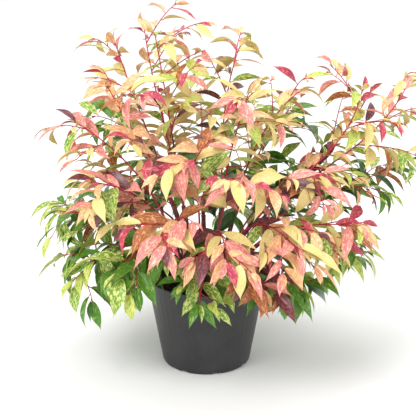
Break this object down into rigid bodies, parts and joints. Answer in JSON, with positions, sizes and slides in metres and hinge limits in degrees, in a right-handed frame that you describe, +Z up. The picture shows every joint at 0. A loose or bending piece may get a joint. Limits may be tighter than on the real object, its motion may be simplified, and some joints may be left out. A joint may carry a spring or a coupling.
{
  "type": "potted shrub",
  "caption": "Evergreen shrub with long pointed leaves, mottled cream, pink and green, on arching stems in a round tapered plant pot that stands on its flat underside.",
  "frame": {"origin": "centre of the flat underside of the pot", "axes": "+Z up along the pot's axis, +X to the viewer's right in the picture, -Y towards the viewer"},
  "size_m": [0.6651, 0.5238, 0.5639],
  "materials": {
    "pot": "thin moulded plastic, satin",
    "soil": "crumbly bark compost",
    "bark": "smooth young bark",
    "leaf_pink": "glossy young leaf",
    "leaf_cream": "glossy leaf",
    "leaf_bronze": "glossy leaf",
    "leaf_green": "glossy leaf",
    "leaf_dark": "glossy leaf"
  },
  "bodies": {
    "root": {"cane_back": "bark", "cane_back_left": "bark", "cane_back_right": "bark", "cane_centre_front": "bark", "cane_centre_left": "bark", "cane_crest_far_right": "bark", "cane_crest_left": "bark", "cane_crest_right": "bark", "cane_crest_twin": "bark", "cane_front_left": "bark", "cane_front_low": "bark", "cane_front_right": "bark", "cane_front_right_high": "bark", "cane_left_arm": "bark", "cane_left_hem": "bark", "cane_left_mid": "bark", "cane_left_upper": "bark", "cane_right_arm": "bark", "cane_right_hem": "bark", "cane_right_low": "bark", "cane_right_mid": "bark", "cane_top_centre": "bark", "cane_top_right": "bark", "foliage_back_high": "leaf_cream", "foliage_back_left_high": "leaf_green", "foliage_back_left_low": "leaf_dark", "foliage_back_low": "leaf_green", "foliage_back_right_high": "leaf_green", "foliage_back_right_low": "leaf_dark", "foliage_centre_front": "leaf_pink", "foliage_centre_left": "leaf_pink", "foliage_crest_far_right": "leaf_cream", "foliage_crest_left_high": "leaf_cream", "foliage_crest_left_low": "leaf_pink", "foliage_crest_right_back": "leaf_cream", "foliage_crest_right_front": "leaf_cream", "foliage_crest_twin_back": "leaf_cream", "foliage_crest_twin_front": "leaf_cream", "foliage_front_hem": "leaf_green", "foliage_front_hem_right": "leaf_bronze", "foliage_front_left": "leaf_pink", "foliage_front_low": "leaf_pink", "foliage_front_right": "leaf_pink", "foliage_front_right_high": "leaf_pink", "foliage_left_arm": "leaf_green", "foliage_left_hem": "leaf_green", "foliage_left_low": "leaf_green", "foliage_left_mid": "leaf_pink", "foliage_left_upper": "leaf_pink", "foliage_right_arm": "leaf_dark", "foliage_right_hem": "leaf_dark", "foliage_right_low": "leaf_green", "foliage_right_mid": "leaf_cream", "foliage_top_centre_high": "leaf_cream", "foliage_top_centre_low": "leaf_cream", "foliage_top_right": "leaf_cream", "pot": "pot", "soil": "soil"}
  },
  "joints": []
}
